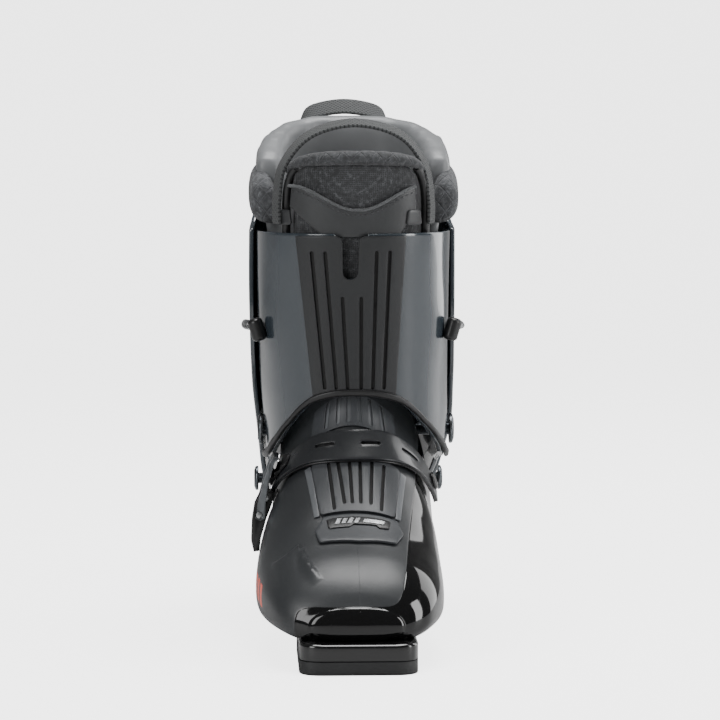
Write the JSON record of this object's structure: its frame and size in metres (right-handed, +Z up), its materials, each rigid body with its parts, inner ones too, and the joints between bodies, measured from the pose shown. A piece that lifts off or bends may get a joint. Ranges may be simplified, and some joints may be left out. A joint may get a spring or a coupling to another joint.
{
  "type": "rear-entry alpine ski boot",
  "caption": "Rear-entry alpine ski boot, right foot: hollow shell, flexing front cuff, opening rear cuff with cable closure, instep strap and buckle, padded liner.",
  "frame": {"origin": "on the ground under the middle of the boot's outline", "axes": "+Z up, toe towards -Y, inner side of the foot towards +X"},
  "size_m": [0.139, 0.31, 0.3274],
  "materials": {
    "shell": "moulded, matte above and glossy near the sole",
    "sole_rubber": "matte tread",
    "board": "moulded",
    "liner_textile": "quilted mesh and smooth synthetic",
    "liner_smooth": "smooth synthetic leather",
    "panel": "matte, ribbed",
    "black_plastic": "satin",
    "badge_silver": "satin silver",
    "steel": "satin",
    "cuff_gloss": "clear glossy slate grey",
    "trim_rubber": "smooth",
    "webbing": "woven",
    "steel_cable": "stranded, coated",
    "buckle_alloy": "satin with bright edges",
    "strap_plastic": "matte moulded"
  },
  "bodies": {
    "root": {"lower_shell": "shell", "toe_sole_pad": "sole_rubber", "heel_sole_pad": "sole_rubber", "sole_screw_1": "steel", "sole_screw_2": "steel", "sole_screw_3": "steel", "sole_screw_4": "steel", "sole_screw_5": "steel", "sole_screw_6": "steel", "sole_screw_7": "steel", "sole_screw_8": "steel", "boot_board": "board", "liner_foot": "liner_textile", "instep_panel": "panel", "badge_plate": "black_plastic", "badge_inset": "badge_silver", "ankle_rivet_left": "steel", "ankle_rivet_right": "steel", "buckle_base": "black_plastic", "instep_lever_pin": "steel", "strap_rivet": "steel"},
    "front_cuff": {"front_cuff": "cuff_gloss", "flex_panel": "panel", "arch_trim": "trim_rubber", "cable_anchor_left": "black_plastic", "cable_anchor_right": "black_plastic", "hinge_rivet_left": "steel", "hinge_rivet_right": "steel", "liner_tongue": "liner_textile", "front_pull_loop": "webbing"},
    "rear_cuff": {"rear_cuff": "cuff_gloss", "liner_rear": "liner_smooth", "liner_wing_left": "liner_textile", "liner_wing_right": "liner_textile", "rear_pull_loop": "webbing", "lever_base": "black_plastic", "closing_lever_pin": "steel", "cable_guide_left": "black_plastic", "cable_guide_right": "black_plastic", "cable_left": "steel_cable", "cable_right": "steel_cable"},
    "closing_lever": {"closing_lever": "black_plastic"},
    "instep_lever": {"instep_lever": "black_plastic", "bail_pin": "steel"},
    "instep_bail": {"instep_bail": "buckle_alloy"},
    "instep_strap": {"instep_strap": "strap_plastic", "strap_ladder": "black_plastic"}
  },
  "joints": [
    {"name": "cuff_flex", "type": "hinge", "parent": "root", "child": "front_cuff", "pos_m": [-0.004, 0.04, 0.12], "axis": [1, 0, 0], "range_deg": [0, 10], "stiffness_Nm_per_rad": 200},
    {"name": "rear_cuff_open", "type": "hinge", "parent": "front_cuff", "child": "rear_cuff", "pos_m": [-0.004, 0.107, 0.08], "axis": [-1, 0, 0], "range_deg": [0, 30], "deforming": ["cable_left", "cable_right"]},
    {"name": "closing_lever_open", "type": "hinge", "parent": "rear_cuff", "child": "closing_lever", "pos_m": [-0.004, 0.13986, 0.16027], "axis": [-1, 0, 0], "range_deg": [0, 130]},
    {"name": "instep_lever_open", "type": "hinge", "parent": "root", "child": "instep_lever", "pos_m": [-0.05637, -0.026, 0.0862], "axis": [0, 1, 0], "range_deg": [0, 130]},
    {"name": "instep_bail_swing", "type": "hinge", "parent": "instep_lever", "child": "instep_bail", "pos_m": [-0.06017, -0.026, 0.0763], "axis": [0, 1, 0], "range_deg": [-155, 0]},
    {"name": "instep_strap_lift", "type": "hinge", "parent": "root", "child": "instep_strap", "pos_m": [0.04, -0.012, 0.112], "axis": [0, 1, 0], "range_deg": [0, 20], "deforming": ["instep_strap"]}
  ],
  "couplings": [
    {"joint": "instep_bail_swing", "follows": "instep_lever_open", "ratio": -1.15},
    {"joint": "instep_strap_lift", "follows": "instep_lever_open", "ratio": 0.12}
  ]
}
